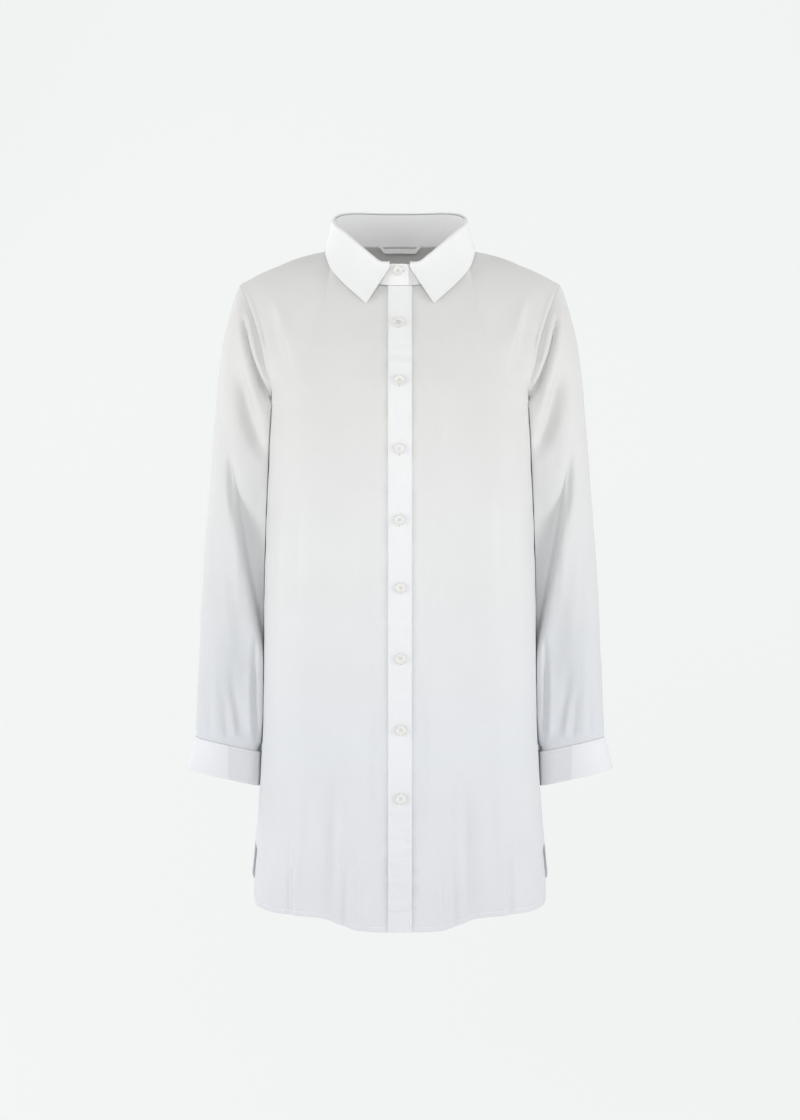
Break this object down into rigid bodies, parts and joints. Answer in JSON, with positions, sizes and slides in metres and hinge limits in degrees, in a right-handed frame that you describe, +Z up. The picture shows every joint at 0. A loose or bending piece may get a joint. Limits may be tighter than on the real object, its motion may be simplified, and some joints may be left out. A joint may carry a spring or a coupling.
{
  "type": "button-front tunic shirt with long sleeves, filled out with no wearer",
  "caption": "Long collared white shirt of thin woven cloth with a front button placket, cuffed long sleeves and a curved hem, hollow and filled out as when worn.",
  "frame": {"origin": "middle of the neck hole, level with the inner ends of the shoulders, where the wearer's shoulders hold the shirt up", "axes": "+X towards the wearer's left, +Y towards the back, +Z up along the wearer"},
  "size_m": [0.536, 0.2451, 0.8883],
  "materials": {
    "body_cloth": "thin plain-weave cotton, slightly sheer",
    "firm_cloth": "the same cotton in several layers, pressed",
    "button": "polished, pearly"
  },
  "bodies": {
    "root": {"back": "body_cloth", "front_left": "body_cloth", "front_right": "body_cloth", "sleeve_left": "body_cloth", "sleeve_right": "body_cloth", "placket": "firm_cloth", "collar_band": "firm_cloth", "collar_fall": "firm_cloth", "cuff_left": "firm_cloth", "cuff_right": "firm_cloth", "hanging_loop": "firm_cloth", "button_1": "button", "button_2": "button", "button_3": "button", "button_4": "button", "button_5": "button", "button_6": "button", "button_7": "button", "button_8": "button", "button_9": "button", "button_cuff_left": "button", "button_cuff_right": "button"}
  },
  "joints": []
}
